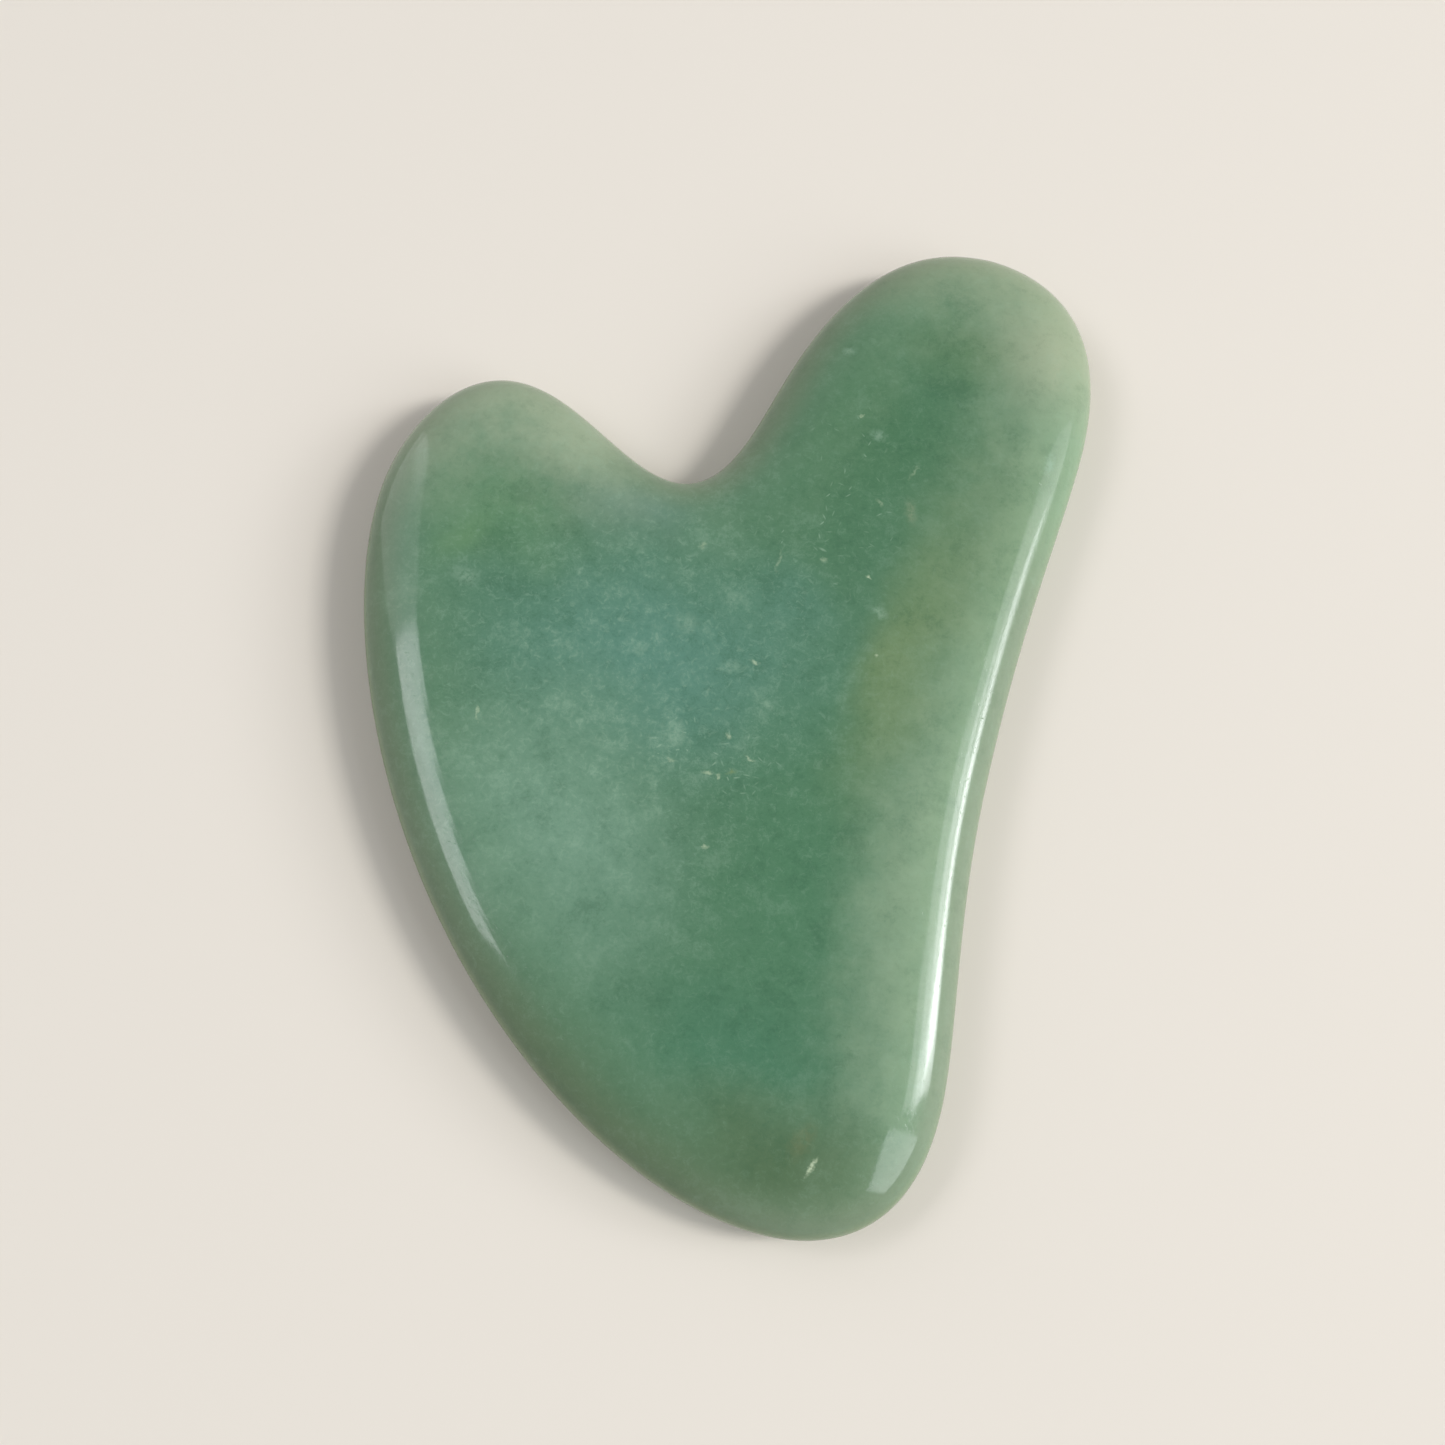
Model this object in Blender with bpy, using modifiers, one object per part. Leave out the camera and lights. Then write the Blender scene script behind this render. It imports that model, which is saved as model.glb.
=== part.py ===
"""Gua sha scraper: one slab of polished green stone, cut as a lopsided heart.

The stone lies flat on the XY plane with its lower face at Z = 0 and its long side along +Y.
Seen from above, the tall lobe is at the top right, the short lobe at the left with the notch
between them, the hollow edge runs down the right side, and the tip is at the bottom right.
"""
import math

import bmesh
import bpy
from mathutils import Vector
from mathutils.geometry import interpolate_bezier

MM = 0.001

# Overall size of the slab, in millimetres
LENGTH = 82.0
WIDTH = 55.0
THICKNESS = 6.5

# Rounded rim: how far it reaches in over each face, and the least radius left inside it
RIM_REACH = 5.6
LEAST_INNER_RADIUS = 0.5

# Points where the outline is steered, in millimetres from the sides of the slab's box.
# Each pull is how far the curve keeps its direction before and after its point.
TALL_CROWN_FROM_RIGHT = 11.6
TALL_CROWN_PULL = (3.2, 9.8)

TALL_FLANK_FROM_LEFT = 29.3
TALL_FLANK_FROM_TOP = 16.5
TALL_FLANK_SLOPE = 75.8
TALL_FLANK_PULL = (5.0, 5.0)

NOTCH_FROM_LEFT = 23.1
NOTCH_FROM_TOP = 26.4
NOTCH_PULL = (3.9, 4.1)

SHORT_CROWN_FROM_LEFT = 8.5
SHORT_CROWN_FROM_TOP = 20.8
SHORT_CROWN_PULL = (5.2, 5.3)

BELLY_SIDE_FROM_TOP = 33.2
BELLY_SIDE_PULL = (6.3, 9.2)

BELLY_FROM_LEFT = 17.7
BELLY_FROM_BOTTOM = 13.4
BELLY_SLOPE = 44.5
BELLY_PULL = (15.8, 14.1)

TIP_CROWN_FROM_RIGHT = 11.0
TIP_CROWN_PULL = (6.3, 5.6)

TIP_SIDE_FROM_BOTTOM = 12.0
TIP_SIDE_PULL = (9.2, 5.8)

HOLLOW_DEPTH = 1.9
HOLLOW_FROM_TOP = 45.6
HOLLOW_PULL = (10.6, 15.5)

TALL_SIDE_FROM_TOP = 14.3
TALL_SIDE_PULL = (6.7, 13.0)

# Fineness of the mesh
POINTS_PER_SPAN = 14
RIM_STEPS = 7

# Look of the polished stone
STONE_COLOUR = (0.098, 0.262, 0.181, 1.0)
STONE_ROUGHNESS = 0.12
STONE_METALLIC = 0.0

# Headings around the outline, in degrees
RIGHTWARD = 0.0
UPWARD = 90.0
LEFTWARD = 180.0
DOWNWARD = 270.0


def steer(x, y, heading, pull):
    """One point of the outline, with the curve handles before and after it."""
    point = Vector((x, y, 0.0)) * MM
    along = Vector((math.cos(math.radians(heading)), math.sin(math.radians(heading)), 0.0)) * MM
    before, after = pull
    return point - along * before, point, point + along * after


def heart_outline():
    """The outline's points, anticlockwise from the crown of the tall lobe."""
    left, right = -WIDTH / 2, WIDTH / 2
    bottom, top = -LENGTH / 2, LENGTH / 2
    steered = [
        steer(right - TALL_CROWN_FROM_RIGHT, top, LEFTWARD, TALL_CROWN_PULL),
        steer(left + TALL_FLANK_FROM_LEFT, top - TALL_FLANK_FROM_TOP,
              LEFTWARD + TALL_FLANK_SLOPE, TALL_FLANK_PULL),
        steer(left + NOTCH_FROM_LEFT, top - NOTCH_FROM_TOP, LEFTWARD, NOTCH_PULL),
        steer(left + SHORT_CROWN_FROM_LEFT, top - SHORT_CROWN_FROM_TOP, LEFTWARD, SHORT_CROWN_PULL),
        steer(left, top - BELLY_SIDE_FROM_TOP, DOWNWARD, BELLY_SIDE_PULL),
        steer(left + BELLY_FROM_LEFT, bottom + BELLY_FROM_BOTTOM, RIGHTWARD - BELLY_SLOPE, BELLY_PULL),
        steer(right - TIP_CROWN_FROM_RIGHT, bottom, RIGHTWARD, TIP_CROWN_PULL),
        steer(right, bottom + TIP_SIDE_FROM_BOTTOM, UPWARD, TIP_SIDE_PULL),
        steer(right - HOLLOW_DEPTH, top - HOLLOW_FROM_TOP, UPWARD, HOLLOW_PULL),
        steer(right, top - TALL_SIDE_FROM_TOP, UPWARD, TALL_SIDE_PULL),
    ]
    outline = []
    for here, following in zip(steered, steered[1:] + steered[:1]):
        span = interpolate_bezier(here[1], here[2], following[0], following[1], POINTS_PER_SPAN + 1)
        outline.extend(span[:-1])
    return outline


def tightest_radius(outline):
    """The smallest radius on the outline's outward bends."""
    tightest = math.inf
    for before, here, after in zip(outline[-1:] + outline[:-1], outline, outline[1:] + outline[:1]):
        arriving, leaving = here - before, after - here
        turn = arriving.xy.cross(leaving.xy)
        if turn > 0.0:
            chords = arriving.length * leaving.length * (after - before).length
            tightest = min(tightest, chords / (2.0 * turn))
    return tightest


def upper_half():
    """The half of the slab above its middle plane, open underneath."""
    outline = heart_outline()
    reach = min(RIM_REACH * MM, tightest_radius(outline) - LEAST_INNER_RADIUS * MM)
    rise = THICKNESS / 2 * MM
    shell = bmesh.new()
    face = shell.faces.new([shell.verts.new(point) for point in outline])
    face.normal_update()
    inset, height = 0.0, 0.0
    for step in range(1, RIM_STEPS + 1):
        angle = math.radians(90.0) * step / RIM_STEPS
        next_inset = reach * (1.0 - math.cos(angle))
        next_height = rise * math.sin(angle)
        bmesh.ops.inset_individual(
            shell,
            faces=[face],
            thickness=next_inset - inset,
            depth=next_height - height,
            use_even_offset=True,
        )
        inset, height = next_inset, next_height
    mesh = bpy.data.meshes.new("scraper_stone")
    shell.to_mesh(mesh)
    shell.free()
    return mesh


def polished_stone_material():
    material = bpy.data.materials.new("polished_green_stone")
    material.use_nodes = True
    shader = material.node_tree.nodes["Principled BSDF"]
    shader.inputs["Base Color"].default_value = STONE_COLOUR
    shader.inputs["Roughness"].default_value = STONE_ROUGHNESS
    shader.inputs["Metallic"].default_value = STONE_METALLIC
    return material


def build():
    for old in list(bpy.data.objects):
        bpy.data.objects.remove(old)
    collection = bpy.data.collections.new("gua_sha_scraper")
    bpy.context.scene.collection.children.link(collection)

    mesh = upper_half()
    mesh.shade_smooth()
    mesh.materials.append(polished_stone_material())
    stone = bpy.data.objects.new("scraper_stone", mesh)
    stone.location.z = THICKNESS / 2 * MM
    collection.objects.link(stone)

    # The lower half mirrors the upper one across the middle plane
    halves = stone.modifiers.new("lower_half", "MIRROR")
    halves.use_axis = (False, False, True)
    halves.merge_threshold = 0.00001


build()
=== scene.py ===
# %% [markdown]
# # A polished gua sha stone
# A gua sha scraper is a flat stone that is drawn over the skin. This one is a single slab of green
# quartz, sawn to the outline of a lopsided heart, ground round along its whole rim and polished.
# The imported solid already has the right size and outline, so it is loaded first and used as the
# template. The box around it is kept, because later steps take their measures from it.

# %% Load the imported solid
import math

import bmesh
import bpy
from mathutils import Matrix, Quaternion, Vector
from mathutils.kdtree import KDTree


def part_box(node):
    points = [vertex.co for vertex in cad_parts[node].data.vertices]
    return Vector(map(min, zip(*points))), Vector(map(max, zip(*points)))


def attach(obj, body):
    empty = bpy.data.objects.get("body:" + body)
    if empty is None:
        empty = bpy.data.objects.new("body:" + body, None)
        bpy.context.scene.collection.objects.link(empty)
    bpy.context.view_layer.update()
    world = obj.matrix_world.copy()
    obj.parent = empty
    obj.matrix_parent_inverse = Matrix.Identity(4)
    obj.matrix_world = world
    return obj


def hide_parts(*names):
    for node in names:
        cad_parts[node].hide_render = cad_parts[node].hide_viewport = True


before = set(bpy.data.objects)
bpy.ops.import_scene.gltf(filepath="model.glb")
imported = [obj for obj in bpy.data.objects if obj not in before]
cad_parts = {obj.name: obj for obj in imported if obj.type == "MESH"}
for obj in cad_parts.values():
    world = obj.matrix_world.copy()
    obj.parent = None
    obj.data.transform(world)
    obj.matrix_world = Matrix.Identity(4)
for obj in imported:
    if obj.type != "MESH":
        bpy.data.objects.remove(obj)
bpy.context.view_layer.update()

MM = 0.001
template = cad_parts["scraper_stone"]
low, high = (tuple(corner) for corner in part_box("scraper_stone"))
middle = (low[2] + high[2]) / 2
print("slab, mm:", [round((b - a) / MM, 2) for a, b in zip(low, high)])

# %% [markdown]
# ## Camera
# The stone lies flat and is seen from above, from a little below its tip: the camera leans 17 degrees
# away from straight down and stands 14 degrees round from the stone's long side. A 44 mm lens at
# 13 cm gives the same slight narrowing towards the lobes. Setting the camera first means that every
# later step can be judged in the right view.

# %% Camera
LEAN = math.radians(16.99)
ROUND = math.radians(14.32)
STAND = (14.49 * MM, -43.44 * MM, middle + 132.56 * MM)
LENS = 44.0
FILM_WIDTH = 36.0
NEAREST_SEEN = 10 * MM

bpy.ops.object.select_all(action="DESELECT")
bpy.ops.object.camera_add(location=STAND, rotation=(LEAN, 0.0, ROUND))
camera = bpy.context.object
camera.data.lens = LENS
camera.data.sensor_width = FILM_WIDTH
camera.data.clip_start = NEAREST_SEEN
bpy.context.scene.camera = camera
print("camera, mm:", [round(c / MM, 1) for c in camera.location])

# %% [markdown]
# ## Outline
# The saw follows one flat outline, so that is where the stone starts. It could be drawn again as a
# curve, but the solid already holds it: a copy of the solid is merged and bisected at half its
# height with both sides cleared away, which leaves only the loop of edges round its waist. Filled
# with one face, that loop is the blank that is ground next.

# %% Trace the outline
MERGE = 0.001 * MM


def take(piece):
    """Leaves only this piece selected and active."""
    bpy.ops.object.select_all(action="DESELECT")
    piece.select_set(True)
    bpy.context.view_layer.objects.active = piece


stone = bpy.data.objects.new("polished_stone", template.data.copy())
bpy.context.scene.collection.objects.link(stone)
stone.data.materials.clear()
take(stone)
bpy.ops.object.mode_set(mode="EDIT")
bpy.ops.mesh.select_mode(type="VERT")
bpy.ops.mesh.select_all(action="SELECT")
bpy.ops.mesh.remove_doubles(threshold=MERGE)
bpy.ops.mesh.bisect(plane_co=(0, 0, middle), plane_no=(0, 0, 1), clear_inner=True, clear_outer=True,
                    threshold=MERGE)
bpy.ops.mesh.select_all(action="SELECT")
bpy.ops.transform.translate(value=(0, 0, -middle))
bpy.ops.mesh.edge_face_add()
if bmesh.from_edit_mesh(stone.data).faces[:][0].normal.z < 0:
    bpy.ops.mesh.flip_normals()
print("outline points:", len(bmesh.from_edit_mesh(stone.data).verts))

# %% [markdown]
# ## Rounded rim
# On a real stone the rim is ground on a wheel until the waist flows into both faces with no corner.
# A Bevel modifier would give a round of equal width and height, but this rim reaches further in
# over the face than it rises. So the blank is inset ring by ring, and each inset also lifts the
# inner face along a quarter ellipse. How far the rim reaches is measured on the solid: the gap
# between its right side and the edge of its flat face.

# %% Grind the rim
RINGS = 10
LEVEL_RING = 0.35 * MM

level = [v.co.x for v in template.data.vertices if v.co.z > high[2] - MERGE]
rim_reach = high[0] - max(level)
rim_rise = high[2] - middle

went_in, went_up = 0.0, 0.0
for ring in range(1, RINGS + 1):
    angle = math.pi / 2 * ring / RINGS
    go_in = rim_reach * (1 - math.cos(angle))
    go_up = rim_rise * math.sin(angle)
    bpy.ops.mesh.inset(thickness=go_in - went_in, depth=go_up - went_up, use_even_offset=True)
    went_in, went_up = go_in, go_up
bpy.ops.mesh.inset(thickness=LEVEL_RING, depth=0.0, use_even_offset=True)
bpy.ops.mesh.delete(type="ONLY_FACE")
bpy.ops.object.mode_set(mode="OBJECT")
print("rim reaches in %.2f mm and up %.2f mm" % (rim_reach / MM, rim_rise / MM))

# %% [markdown]
# ## Both sides, made smooth
# The slab is the same above and below its waist. Mirror makes the lower half and merges it at the
# waist, and Subdivision Surface then turns the ring of flat strips into one flowing band, so that a
# reflection runs along the rim without breaks. The faces are still open here, because a
# subdivided face with so many corners would pull towards its middle.

# %% Mirror and smooth the rim
WAIST_MERGE = 0.01 * MM
SMOOTHING = 2

halves = stone.modifiers.new("lower_half", "MIRROR")
halves.use_axis = (False, False, True)
halves.merge_threshold = WAIST_MERGE
flow = stone.modifiers.new("flowing_rim", "SUBSURF")
flow.levels = SMOOTHING
flow.render_levels = SMOOTHING
for modifier in ("lower_half", "flowing_rim"):
    bpy.ops.object.modifier_apply(modifier=modifier)
print("rim faces:", len(stone.data.polygons))

# %% [markdown]
# ## Flat faces
# Each face is filled flat, and then cut into small squares by a row of bisects each way. The
# squares change nothing in the shape, but the next step stores a value at every corner, and one
# big face would have corners only along its edge. The rim is hidden meanwhile, so that the cuts
# pass through the faces alone.

# %% Fill and divide the faces
SQUARE = 1.5 * MM


def pick(kind, test):
    """Selects the edges or faces of the piece being edited that pass a test."""
    mesh = bmesh.from_edit_mesh(bpy.context.object.data)
    bpy.ops.mesh.select_all(action="DESELECT")
    for part in getattr(mesh, kind):
        if test(part):
            part.select_set(True)
    mesh.select_flush_mode()
    bmesh.update_edit_mesh(bpy.context.object.data)


bpy.ops.object.mode_set(mode="EDIT")
bpy.ops.mesh.select_mode(type="EDGE")
for side in (1, -1):
    pick("edges", lambda edge: edge.is_boundary and edge.verts[0].co.z * side > 0)
    bpy.ops.mesh.edge_face_add()
bpy.ops.mesh.select_mode(type="FACE")
pick("faces", lambda face: len(face.verts) == 4)
bpy.ops.mesh.hide(unselected=False)
for axis in (0, 1):
    normal = [0.0, 0.0, 0.0]
    normal[axis] = 1.0
    cuts = math.floor(high[axis] / SQUARE)
    for cut in range(-cuts, cuts + 1):
        bpy.ops.mesh.select_all(action="SELECT")
        bpy.ops.mesh.bisect(plane_co=[cut * SQUARE * n for n in normal], plane_no=normal)
bpy.ops.mesh.reveal()
bpy.ops.mesh.select_all(action="SELECT")
bpy.ops.mesh.normals_make_consistent(inside=False)
bpy.ops.transform.translate(value=(0, 0, middle))
bpy.ops.object.mode_set(mode="OBJECT")
bpy.ops.object.shade_smooth()
print("stone faces:", len(stone.data.polygons))

# %% [markdown]
# ## Distance from the outline
# The stone lets some light through, so it looks paler where it is thin and darker in the middle.
# The shader has to know how far each point lies from the outline. That distance is measured here,
# in millimetres, from every vertex to the nearest point of the waist, and is kept on the mesh as an
# attribute that travels with it.

# %% Measure the distance from the outline
waist = [v.co for v in stone.data.vertices if abs(v.co.z - middle) < MERGE]
nearest = KDTree(len(waist))
for number, point in enumerate(waist):
    nearest.insert((point.x, point.y, 0.0), number)
nearest.balance()
distances = [nearest.find((v.co.x, v.co.y, 0.0))[2] / MM for v in stone.data.vertices]
from_edge = stone.data.attributes.new("from_edge", "FLOAT", "POINT")
from_edge.data.foreach_set("value", distances)
print("deepest point is %.1f mm from the outline" % max(distances))

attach(stone, "root")
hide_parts("scraper_stone")

# %% [markdown]
# ## Writing a shader as sums
# The stone's colour is built up in layers, which would be a long list of nodes and links. A small
# class wraps a socket, so that `1 - mask` or `a * b` adds the Math node by itself, and one method
# adds every other kind of node.

# %% Shader helper


class Wire:
    """A shader socket that can be added, multiplied and passed on to other nodes."""

    def __init__(self, tree, socket):
        self.tree = tree
        self.socket = socket

    def node(self, kind, settings, sockets, out=0):
        """Adds a node, sets it up, fills its sockets and gives back one output."""
        made = self.tree.nodes.new(kind)
        for name, value in settings.items():
            setattr(made, name, value)
        for name, value in sockets.items():
            if isinstance(value, Wire):
                self.tree.links.new(value.socket, made.inputs[name])
            else:
                made.inputs[name].default_value = value
        return Wire(self.tree, made.outputs[out])

    def math(self, operation, first, second):
        return self.node("ShaderNodeMath", {"operation": operation}, {0: first, 1: second})

    def __add__(self, other):
        return self.math("ADD", self, other)

    def __sub__(self, other):
        return self.math("SUBTRACT", self, other)

    def __rsub__(self, other):
        return self.math("SUBTRACT", other, self)

    def __mul__(self, other):
        return self.math("MULTIPLY", self, other)

    __radd__ = __add__
    __rmul__ = __mul__

    def fade(self, start, end, low=0.0, high=1.0):
        """Runs smoothly from low at start to high at end."""
        return self.node("ShaderNodeMapRange", {"interpolation_type": "SMOOTHSTEP"},
                         {0: self, 1: start, 2: end, 3: low, 4: high})

    def mix(self, amount, colour):
        """Blends this colour towards another."""
        return self.node("ShaderNodeMix", {"data_type": "RGBA"}, {0: amount, 6: self, 7: colour}, out=2)


POLISH_VEIL = 0.040


def seen(red, green, blue, veil=POLISH_VEIL):
    """A colour as it looks on screen, 0 to 255, as the linear values that a shader takes.

    The polish lays an even veil of reflected room over the stone, so that much is taken off first.
    """
    linear = [((c / 255 + 0.055) / 1.055) ** 2.4 for c in (red, green, blue)]
    return tuple(max(c - veil, 0.0) for c in linear) + (1.0,)


stone_look = bpy.data.materials.new("polished_green_stone")
stone_look.use_nodes = True
nodes = stone_look.node_tree
shader = nodes.nodes["Principled BSDF"]
start = Wire(nodes, None)
print("material:", stone_look.name)

# %% [markdown]
# ## Places on the stone
# All patterns are laid out in millimetres on the stone itself. The object coordinates are scaled up
# once, and a copy is pushed about by slow noise: a soft patch drawn on that copy gets the wandering
# border that a cloud in quartz has.

# %% Coordinates in millimetres
on_stone = start.node("ShaderNodeTexCoord", {}, {}, out="Object")
place = start.node("ShaderNodeVectorMath", {"operation": "SCALE"}, {0: on_stone, "Scale": 1 / MM})
edge = start.node("ShaderNodeAttribute", {"attribute_name": "from_edge"}, {}, out="Fac")


def noise(size, detail=2.0, rough=0.5, twist=0.0, out="Fac"):
    """Soft random pattern with features of about this size in millimetres."""
    return start.node("ShaderNodeTexNoise", {}, {"Vector": place, "Scale": 1 / size, "Detail": detail,
                                                 "Roughness": rough, "Distortion": twist}, out=out)


def wander(size, reach):
    """The place, pushed up to about this far by noise of this size."""
    push = start.node("ShaderNodeVectorMath", {"operation": "SUBTRACT"},
                      {0: noise(size, 3.0, out="Color"), 1: (0.5, 0.5, 0.5)})
    return start.node("ShaderNodeVectorMath", {"operation": "MULTIPLY_ADD"},
                      {0: push, 1: (2 * reach, 2 * reach, 2 * reach), 2: place})


drifted = wander(9.0, 3.0)


def patch(centre, size, turn=0.0, soft=1.0, at=None):
    """A soft oval on the stone: 1 inside, 0 from its border on."""
    local = start.node("ShaderNodeMapping", {"vector_type": "TEXTURE"}, {
        "Vector": at or drifted,
        "Location": (centre[0], centre[1], 0.0),
        "Rotation": (0.0, 0.0, math.radians(turn)),
        "Scale": (size[0], size[1], 1000.0)})
    reach = start.node("ShaderNodeVectorMath", {"operation": "LENGTH"}, {0: local}, out="Value")
    return reach.fade(1.0, 1.0 - soft)


print("nodes so far:", len(nodes.nodes))

# %% [markdown]
# ## Clouds of green
# Green aventurine is quartz coloured by very small flakes of a green mica, which lie in clouds. This
# stone has a bluish teal heart with a milkier belly below it, richer fern green up its tall lobe
# and down its spine, a yellower moss green in its short lobe, and streaks of tan towards its hollow
# side. Each cloud is one soft oval with its own colour, and later clouds lie over earlier ones.

# %% Green clouds
GREEN = seen(92, 131, 106)
HEART_TEAL = seen(99, 142, 127)
MILKY_TEAL = seen(119, 155, 134)
FERN = seen(83, 124, 95)
SPINE_GREEN = seen(87, 130, 102)
DEEP_FERN = seen(80, 126, 101)
MOSS = seen(102, 141, 110)
LEAF = seen(108, 147, 107)
MIST = seen(108, 140, 127)
TAN = seen(112, 137, 99)

GREEN_CLOUDS = [
    ("teal heart", HEART_TEAL, (-2, -1), (21, 14), 0, 1.0),
    ("milky belly", MILKY_TEAL, (-5, -16), (18, 13), -50, 1.0),
    ("moss short lobe", MOSS, (-17, 8), (9, 7), -15, 1.0),
    ("leaf green streak", LEAF, (-19, 4.5), (2.5, 4.5), -15, 0.5),
    ("fern in the short lobe", FERN, (-16.5, 5), (3, 3), 0, 0.5),
    ("fern tall lobe", FERN, (10.5, 22), (11.5, 22), -4, 1.0),
    ("green spine", SPINE_GREEN, (13, -16), (10, 25), 0, 1.0),
    ("deep fern foot", DEEP_FERN, (11, -30), (11, 8), 0, 0.9),
    ("mist at the notch", MIST, (-6, 11), (8, 5), 0, 0.75),
    ("teal under the tall lobe", HEART_TEAL, (7, 6), (5, 4), 0, 0.4),
    ("tan streak", TAN, (16.5, -1), (5, 15), 0, 0.5),
    ("tan in the tall lobe", TAN, (17, 31), (8, 6), 0, 0.35),
]

tint = start.node("ShaderNodeRGB", {}, {}, out=0)
tint.socket.default_value = GREEN
for name, colour, centre, size, turn, strength in GREEN_CLOUDS:
    tint = tint.mix(patch(centre, size, turn) * strength, colour)
    print("cloud:", name)

# %% [markdown]
# ## Pale margin and painted glow
# Towards the outline the slab gets thin, more light comes through, and the green fades to a pale
# grey-green over some 12 mm. On top of that, glow is painted in: the fade is strong along the hollow
# side and over the crowns of both lobes, which face the lamps, and weak along the belly, which lies in
# shade. One width for all would be simpler, but it would pale the belly too, so each part of the
# outline gets its own mask from its place on the stone.

# %% Pale margin
PALE = seen(149, 173, 145)
STRAW = seen(129, 149, 105)
BUFF = seen(158, 167, 140)
CREAM = seen(168, 178, 152)
MISTY_GLOW = seen(160, 175, 150)
RIM_GREY = seen(128, 145, 120)
HOLLOW_RIM_GLOW = seen(138, 147, 130)
RIM_SHADE = seen(88, 114, 82)
TIP_GREY = seen(81, 105, 75)
OLIVE_GLOW = seen(136, 154, 114)
FADE_WIDTH = 12.0
RAGGED = 8.0

axes = start.node("ShaderNodeSeparateXYZ", {}, {0: place}).socket.node.outputs
across, along = Wire(nodes, axes["X"]), Wire(nodes, axes["Y"])
# The hollow side and the crowns face the lamps: these masks place the painted glow, and the belly rim,
# away from them, takes painted shade.
lit_hollow_side = across.fade(4.0, 20.0) * along.fade(-39.0, -26.0, 0.4, 1.0)
lit_tall_crown = along.fade(29.0, 41.0)
lit_short_crown = along.fade(3.0, 15.0) * across.fade(-3.0, -13.0) * across.fade(-27.0, -17.0, 0.8, 1.0)
belly_foot = along.fade(-20.0, -34.0) * across.fade(20.0, 8.0)
margin = (edge + RAGGED * (noise(3.0, 4.0, 0.6) - 0.5)).fade(FADE_WIDTH, 0.0)
shaded_belly_rim = 1 - lit_hollow_side
lit_hollow_low = lit_hollow_side * along.fade(20.0, 8.0)
print("nodes so far:", len(nodes.nodes))

# %% [markdown]
# ## Layers of the margin
# With the masks ready, the margin is laid on like glazes, one thin colour over the other. The wide
# fades come first, then patches where the margin is straw coloured, milky or grey, and last what
# follows the outline closely. Much of it is painted light: glow on the lit hollow side and the crowns,
# shade on the belly rim and the foot, and a thin glow along the outline. A list keeps each layer's
# strength beside its colour.

# %% Lay the margin
MARGIN_LAYERS = [
    ("thin fade all round", margin * across.fade(-8.0, -20.0, 0.15, 0.13), PALE),
    # Painted glow along the hollow side, which faces the lamps.
    ("painted glow of the hollow side", margin * lit_hollow_side * 0.82, PALE),
    ("straw band", patch((17.5, 5), (6, 15)) * 0.42, STRAW),
    ("tan band", patch((20, 15), (8, 20)) * 0.3, TAN),
    # Painted glow low on the lit hollow side.
    ("painted glow band", patch((22, -15), (7, 15)) * 0.42, PALE),
    # Painted glow over the crowns and the tall lobe's shoulder, which face the light.
    ("painted glow on the tall crown", margin * lit_tall_crown * 0.6, BUFF),
    ("painted glow on the tall shoulder", patch((24, 33), (9, 9)) * 0.7, CREAM),
    ("painted glow on the short crown", margin * lit_short_crown * 0.95, MISTY_GLOW),
    ("grey tip", patch((17, -35.5), (12, 7)) * 0.7, TIP_GREY),
    ("pale end of the tip", patch((24, -37), (8, 6)) * 0.2, RIM_GREY),
    # Painted shade: the belly rim, away from the lamps, is turned a duller grey-green.
    ("painted shade on the belly rim", edge.fade(4.0, 0.8) * shaded_belly_rim * (1 - 0.5 * lit_short_crown) * 0.65, RIM_GREY),
    # Painted glow: a pale line along the outline of the lit hollow side.
    ("painted glow at the hollow rim", edge.fade(2.5, 0.8) * lit_hollow_low * 0.55, HOLLOW_RIM_GLOW),
    # Painted glow beside the notch, running on from the short crown.
    ("painted glow beside the notch", patch((-12, 17), (7, 4)) * 0.5, MISTY_GLOW),
    ("shaded foot", edge.fade(7.5, 1.2) * belly_foot * 0.45, RIM_SHADE),
    # Painted glow: a thin olive line where light comes through the thin edge.
    ("painted olive glow at the outline", edge.fade(0.6, 0.05) * (1 - 0.6 * lit_hollow_side) * 0.5, OLIVE_GLOW),
]
for name, amount, colour in MARGIN_LAYERS:
    tint = tint.mix(amount, colour)
    print("margin:", name)

# %% [markdown]
# ## Sugary grain
# Close up, the quartz is a mass of small grains, some a little milkier than others. Two sizes of
# noise lighten and darken the green by a few percent, which keeps the surface from looking painted.

# %% Sugary grain
MILK = seen(154, 185, 163)
SHADE = seen(54, 98, 76)

mottle = noise(4.0, 6.0, 0.85)
fibres = noise(0.7, 4.0, 0.8, twist=0.7)
milky = 0.3 + 0.7 * patch((-4, -4), (26, 30))
calm = 1 - 0.65 * margin
tint = tint.mix(mottle.fade(0.50, 0.66) * milky * 0.32, MILK)
tint = tint.mix(mottle.fade(0.50, 0.34) * calm * 0.28, SHADE)
tint = tint.mix(fibres.fade(0.50, 0.72) * milky * 0.34, MILK)
tint = tint.mix(fibres.fade(0.50, 0.25) * calm * 0.20, SHADE)
print("nodes so far:", len(nodes.nodes))

# %% [markdown]
# ## Mica flecks
# Here and there a flake of mica or a short fibre catches the light. A Voronoi pattern gives one
# random point to a cell, and its random colour decides which way the fleck points and whether the
# cell has one at all. The flecks gather in three swarms, which are soft patches broken up by noise.

# %% Mica flecks
FLECK = seen(186, 214, 190)


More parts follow.
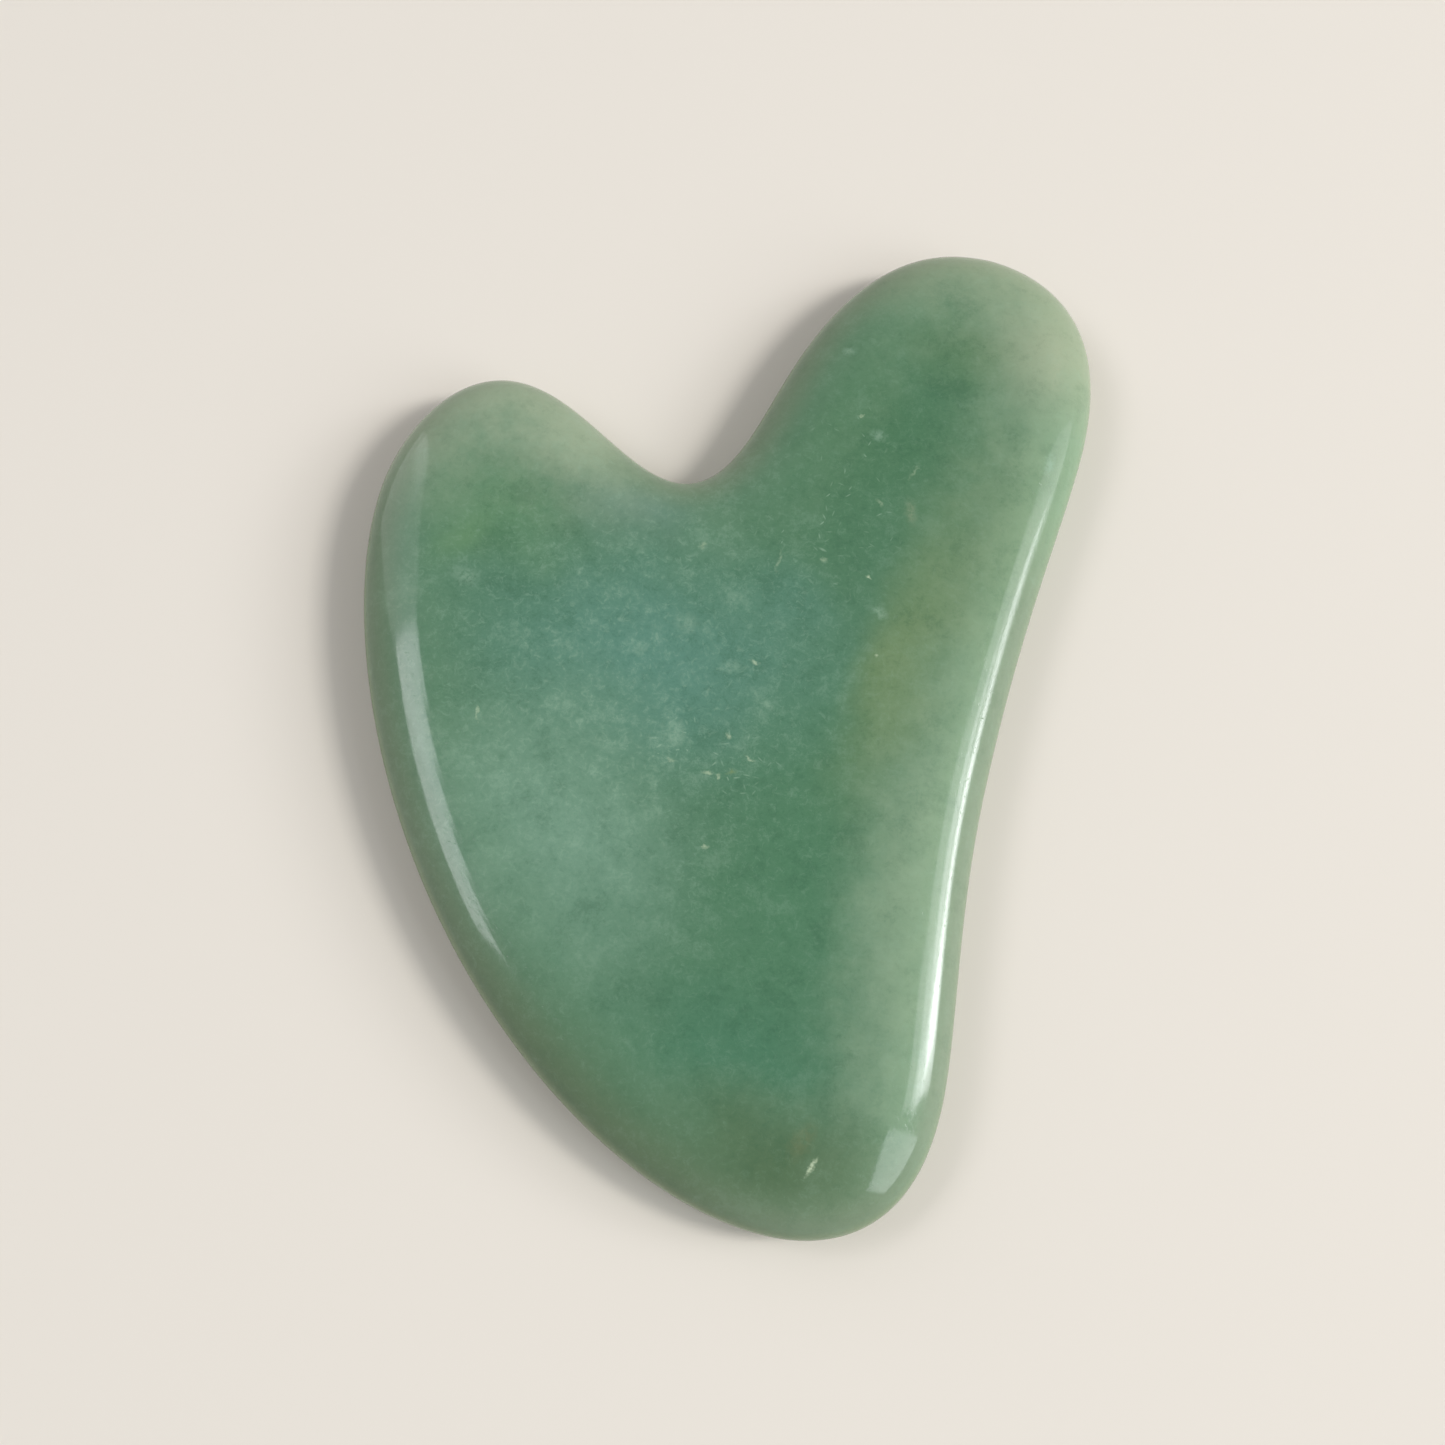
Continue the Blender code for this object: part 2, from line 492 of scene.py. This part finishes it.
def flecks(cell, length, width, share):
    """Short bright dashes in random directions, at most one to a cell."""
    cells = {"Vector": place, "Scale": 1 / cell, "Randomness": 1.0}
    voronoi = start.node("ShaderNodeTexVoronoi", {}, cells, out="Position")
    owner = voronoi.socket.node
    chance = start.node("ShaderNodeSeparateColor", {}, {0: Wire(nodes, owner.outputs["Color"])})
    chance_of = chance.socket.node.outputs
    local = start.node("ShaderNodeVectorMath", {"operation": "SUBTRACT"}, {0: place, 1: voronoi})
    turned = start.node("ShaderNodeVectorRotate", {"rotation_type": "Z_AXIS"},
                        {"Vector": local, "Angle": Wire(nodes, chance_of["Green"]) * math.tau})
    squashed = start.node("ShaderNodeVectorMath", {"operation": "MULTIPLY"},
                          {0: turned, 1: (1 / length, 1 / width, 0.0)})
    away = start.node("ShaderNodeVectorMath", {"operation": "LENGTH"}, {0: squashed}, out="Value")
    kept = Wire(nodes, chance_of["Red"]).fade(1 - share, 1 - share + 0.02)
    return away.fade(1.0, 0.2) * kept * (0.35 + 0.65 * Wire(nodes, chance_of["Blue"]))


swarm = patch((9, 15), (9, 13)) + patch((5, -8), (10, 7)) + 0.5 * patch((-8, -6), (14, 9))
swarm = swarm * noise(2.5, 2.0).fade(0.38, 0.62)
fine = flecks(0.7, 0.36, 0.08, 0.30)
coarse = flecks(3.0, 0.45, 0.14, 0.18)
tint = tint.mix(fine * swarm.fade(0.0, 0.9) * 0.30, FLECK)
tint = tint.mix(coarse * swarm.fade(0.0, 0.6) * 0.35, FLECK)
print("nodes so far:", len(nodes.nodes))

# %% [markdown]
# ## Marks of its own
# Every stone has marks that no rule gives: here a healed crack that shows as a bright sickle near
# the tip, with painted shadow beside it where the surface dips in a shallow chip, a pale streak in
# the tall lobe, milky blots, bright flakes and a few thin needles. One blot on the tall lobe's rim is a
# painted highlight where the glint along that rim begins. They are placed one by one, and noise frays
# their borders.

# %% Single marks
# A brown for the painted shadow in the shallow chip beside the crack.
CHIP_SHADOW_BROWN = seen(140, 132, 96)
BRIGHT = seen(206, 222, 190)

MARKS = [
    # Painted shadow in a shallow chip beside the crack.
    ("painted chip shadow", CHIP_SHADOW_BROWN, (18.0, -34.0), (1.2, 2.2), -20, 0.22),
    ("healed crack", BRIGHT, (19.0, -35.6), (0.24, 1.1), -16, 0.8),
    ("pale streak", CREAM, (23.6, 31.0), (0.8, 3.0), 5, 0.4),
    ("straw flake", STRAW, (6.4, -8.8), (0.6, 0.3), 10, 0.6),
    ("tan blot", BUFF, (14.9, 15.5), (0.7, 1.6), 22, 0.35),
    ("milky blot", MILK, (0.0, 2.0), (1.3, 1.3), 0, 0.35),
    ("milky blot", MILK, (4.3, -0.6), (1.2, 0.8), 20, 0.4),
    ("milky blot", MILK, (6.9, 28.3), (0.8, 0.6), 0, 0.4),
    ("milky blot", MILK, (10.9, 21.4), (1.0, 0.8), 0, 0.45),
    ("milky blot", MILK, (-3.6, -9.0), (1.6, 0.8), -20, 0.35),
    ("milky blot", MILK, (-17.8, 1.6), (1.8, 1.2), -20, 0.4),
    ("milky blot", MILK, (1.5, -7.0), (0.9, 1.6), 10, 0.35),
    ("milky blot", MILK, (7.8, -2.9), (1.0, 0.7), 20, 0.4),
    ("milky blot", MILK, (14.4, 6.6), (1.0, 0.6), -30, 0.5),
    # Painted highlight: a bright blot where the glint on the tall lobe's rim begins.
    ("milky blot", MILK, (24.8, 22.6), (0.7, 1.4), 0, 0.5),
    ("bright flake", BRIGHT, (5.5, -9.4), (0.25, 0.4), 0, 0.7),
    ("bright flake", BRIGHT, (4.6, -9.3), (0.7, 0.2), 5, 0.45),
    ("bright flake", BRIGHT, (5.4, -6.1), (0.3, 0.4), 30, 0.45),
    ("bright flake", BRIGHT, (1.7, -9.0), (0.4, 0.25), 0, 0.45),
    ("bright flake", BRIGHT, (7.5, -7.4), (0.5, 0.2), -15, 0.45),
    ("bright flake", BRIGHT, (6.0, 0.2), (0.6, 0.2), -5, 0.5),
    ("bright flake", BRIGHT, (5.8, -14.9), (0.4, 0.2), -5, 0.6),
    ("bright flake", BRIGHT, (14.9, 3.0), (0.25, 0.25), 0, 0.5),
    ("bright flake", BRIGHT, (12.9, 9.3), (0.3, 0.2), -20, 0.7),
    ("bright flake", BRIGHT, (9.2, 22.7), (0.3, 0.3), 0, 0.5),
    ("bright flake", BRIGHT, (9.2, 9.8), (0.4, 0.3), 0, 0.3),
    ("bright flake", BRIGHT, (12.3, 15.7), (0.5, 0.2), -40, 0.3),
    ("bright flake", BRIGHT, (-0.4, 8.6), (0.4, 0.4), 0, 0.25),
    ("thin needle", BRIGHT, (-13.7, -9.0), (0.15, 0.9), 15, 0.4),
    ("thin needle", BRIGHT, (5.7, 8.8), (0.2, 1.2), 0, 0.25),
    ("thin needle", BRIGHT, (14.4, 19.0), (0.2, 1.1), -15, 0.25),
]
trembling = wander(0.5, 0.35)
frayed = noise(0.3, 3.0, 0.7).fade(0.36, 0.58, 0.3, 1.0)
for name, colour, centre, size, turn, strength in MARKS:
    tint = tint.mix(patch(centre, size, turn, 1.0, trembling) * frayed * strength, colour)
    print("mark:", name)
nodes.links.new(tint.socket, shader.inputs["Base Color"])

# %% [markdown]
# ## Polish
# The surface is polished to a wet shine. It is not perfect: fine pits left by the grinding break up
# the brightest highlight. The roughness varies a little, and a very low bump adds the pits. Light
# sinks a few millimetres into the stone, which is the constant subsurface part.

# %% Polish
SHINE = 0.07
PIT_DEPTH = 0.05 * MM
QUARTZ_IOR = 1.544
GLOW_SHARE = 0.3
GLOW_COLOURS = (0.8, 1.0, 0.85)
GLOW_REACH = 2.0 * MM

pits = noise(0.16, 2.0, 0.6)
swell = noise(5.0, 1.0)
rough = SHINE + 0.06 * pits.fade(0.5, 0.8) + 0.03 * swell
nodes.links.new(rough.socket, shader.inputs["Roughness"])
bump = start.node("ShaderNodeBump", {}, {"Strength": 0.20, "Distance": PIT_DEPTH,
                                         "Height": pits.fade(0.62, 0.8, 1.0, 0.0)})
nodes.links.new(bump.socket, shader.inputs["Normal"])
shader.inputs["IOR"].default_value = QUARTZ_IOR
shader.inputs["Subsurface Weight"].default_value = GLOW_SHARE
shader.inputs["Subsurface Radius"].default_value = GLOW_COLOURS
shader.inputs["Subsurface Scale"].default_value = GLOW_REACH
stone.data.materials.append(stone_look)
print("shader nodes:", len(nodes.nodes))

# %% [markdown]
# ## Floor
# A wide pale disc carries the stone and takes its shadow. A disc has a straight horizon from every
# side, where a square would show its corners. It is only scenery.

# %% Floor
FLOOR_RADIUS = 0.6
FLOOR_GAP = 0.02 * MM
FLOOR_PALE = seen(226, 220, 211, veil=0.0)

bpy.ops.object.select_all(action="DESELECT")
bpy.ops.mesh.primitive_circle_add(vertices=96, radius=FLOOR_RADIUS, fill_type="NGON",
                                  location=(0.0, 0.0, low[2] - FLOOR_GAP))
floor = bpy.context.object
floor.name = "pale_floor"
floor_look = bpy.data.materials.new("pale_floor")
floor_look.use_nodes = True
floor_shader = floor_look.node_tree.nodes["Principled BSDF"]
floor_shader.inputs["Base Color"].default_value = FLOOR_PALE
floor_shader.inputs["Roughness"].default_value = 0.7
floor_shader.inputs["Specular IOR Level"].default_value = 0.2
floor.data.materials.append(floor_look)
print("stage:", floor.name)

# %% [markdown]
# ## Lamps
# The polished rim acts as a long curved mirror, so each lamp is seen in it. A lamp is therefore placed
# as a window would be: by the direction it stands in, its spans as seen from the stone, and how bright
# it is to look into. A helper turns these into the size, place and power of an area lamp.

# %% Lamp helpers
LAMP_REACH = 2.0
LAMP_STEP = 0.01
STRIPS = 6
WHITE = (1.0, 1.0, 1.0)
WARM = (1.0, 0.97, 0.92)
COOL = (0.91, 0.975, 1.0)
PEARL = (0.96, 0.96, 1.0)


def pane(name, towards, sideways, upward, glow, colour=WHITE, roll=0.0):
    """A rectangular lamp, as bright to look into as its glow.

    Its plane faces the stone from a direction in degrees: a turn from +X towards +Y, and a height
    above the floor. Its spans in that plane are shares of its distance. Each lamp stands a little
    nearer than the one before, so that no two overlap in one plane.
    """
    turn, height = (math.radians(angle) for angle in towards)
    level = math.cos(height)
    outward = Vector((level * math.cos(turn), level * math.sin(turn), math.sin(height)))
    facing = outward.to_track_quat("Z", "Y") @ Quaternion((0.0, 0.0, 1.0), math.radians(roll))
    away = LAMP_REACH - LAMP_STEP * len(bpy.data.lights)
    centre = away * Vector((sum(sideways) / 2, sum(upward) / 2, 1.0))
    bpy.ops.object.light_add(type="AREA", location=facing @ centre, rotation=facing.to_euler())
    lamp = bpy.context.object
    lamp.name = name
    lamp.visible_camera = False
    lamp.data.shape = "RECTANGLE"
    lamp.data.size = away * (sideways[1] - sideways[0])
    lamp.data.size_y = away * (upward[1] - upward[0])
    lamp.data.energy = 4 * glow * lamp.data.size * lamp.data.size_y
    lamp.data.color = colour
    print("lamp:", name, "%.2f x %.2f m, %.1f W" % (lamp.data.size, lamp.data.size_y, lamp.data.energy))
    return lamp


def stepped_window(name, towards, begin, width, bottom, top, glow, colour, roll):
    """Panes side by side, whose lower and upper ends start at a height and change by an even step."""
    for strip in range(STRIPS):
        near = begin + width * strip
        pane("%s_%d" % (name, strip), towards, (near, near + width),
             (bottom[0] + bottom[1] * strip, top[0] + top[1] * strip), glow, colour, roll)


print("lamps stand up to %.1f m away" % LAMP_REACH)

# %% [markdown]
# ## Windows
# A window on the right makes the pale band along the hollow side, and smaller, brighter panes in front
# of it build up the white line within that band. A second window makes the glint at the tip, and a
# high one on the left the tapering glint on the belly side: both are cut into strips of stepped
# height, because a single pane could not taper. A dim wall on the left gives the soft band above that
# glint. The key lamp throws the shadow to the left and isn't mirrored.

# %% Windows and key
RIGHT = (17, 30)
TIP = (-17, 30)
HIGH_LEFT = (184, 52)
LEFT_WALL = (145, 33)
SUN = (7, 44)
RIGHT_PANES = [
    ("right_window", (-0.16, 0.055), (-0.22, 0.40), 1.7, PEARL, 0),
    ("right_window_2", (0.055, 0.10), (-0.22, 0.32), 1.6, PEARL, 0),
    ("right_window_3", (0.10, 0.16), (-0.20, 0.235), 1.5, PEARL, 0),
    ("right_window_4", (0.16, 0.25), (-0.20, 0.24), 0.9, PEARL, 0),
    ("right_glow_soft", (-0.18, 0.03), (-0.20, 0.24), 2.4, PEARL, 0),
    ("right_glow_far", (0.02, 0.085), (0.0, 0.10), 2.8, PEARL, 14),
    ("right_glow_far_core", (0.045, 0.095), (-0.12, -0.02), 5.0, PEARL, 0),
    ("right_glow_near", (-0.16, 0.01), (-0.17, 0.20), 2.3, PEARL, 18),
    ("right_glow_close", (-0.115, 0.01), (-0.14, 0.09), 3.2, PEARL, 20),
    ("right_glow_core", (-0.085, -0.005), (-0.115, 0.035), 6.0, WHITE, 12),
]
for name, sideways, upward, glow, colour, roll in RIGHT_PANES:
    pane(name, RIGHT, sideways, upward, glow, colour, roll)
stepped_window("tip_window", TIP, -0.22, 0.0735, (-0.24, -0.01), (0.23, 0.065), 2.5, COOL, 5)
stepped_window("left_window", HIGH_LEFT, -0.175, 0.0725, (-0.13, -0.02), (0.31, -0.065), 3.1, PEARL, 18)
pane("left_wall", LEFT_WALL, (0.0, 0.45), (-0.54, 0.54), 0.6, WHITE)
pane("left_wall_streak", LEFT_WALL, (0.0, 0.08), (-0.3, 0.25), 0.45, COOL)
key = pane("sun_side", SUN, (-0.09, 0.09), (-0.105, 0.105), 26.6, WARM)
key.visible_glossy = False
print("lamps:", len(bpy.data.lights))

# %% [markdown]
# ## Room
# The room around is an even grey to the light that falls on the stone, and as pale as the floor where
# it is seen or mirrored. One world colour could not be both, so the kind of ray decides.

# %% Room
ROOM_LIGHT = (0.3, 0.3, 0.3, 1.0)
ROOM_SEEN = seen(232, 226, 216, veil=0.0)

world = bpy.data.worlds.new("soft_room")
world.use_nodes = True
bpy.context.scene.world = world
room = Wire(world.node_tree, None)
ray = room.node("ShaderNodeLightPath", {}, {}).socket.node.outputs
camera_ray, glossy_ray, clear_ray = (Wire(world.node_tree, ray["Is %s Ray" % kind])
                                     for kind in ("Camera", "Glossy", "Transmission"))
sky = room.node("ShaderNodeMix", {"data_type": "RGBA"},
                {0: camera_ray + glossy_ray + clear_ray, 6: ROOM_LIGHT, 7: ROOM_SEEN}, out=2)
world.node_tree.links.new(sky.socket, world.node_tree.nodes["Background"].inputs["Color"])
world.node_tree.nodes["Background"].inputs["Strength"].default_value = 1.0
bpy.context.scene.view_settings.view_transform = "Standard"
print("world:", world.name)
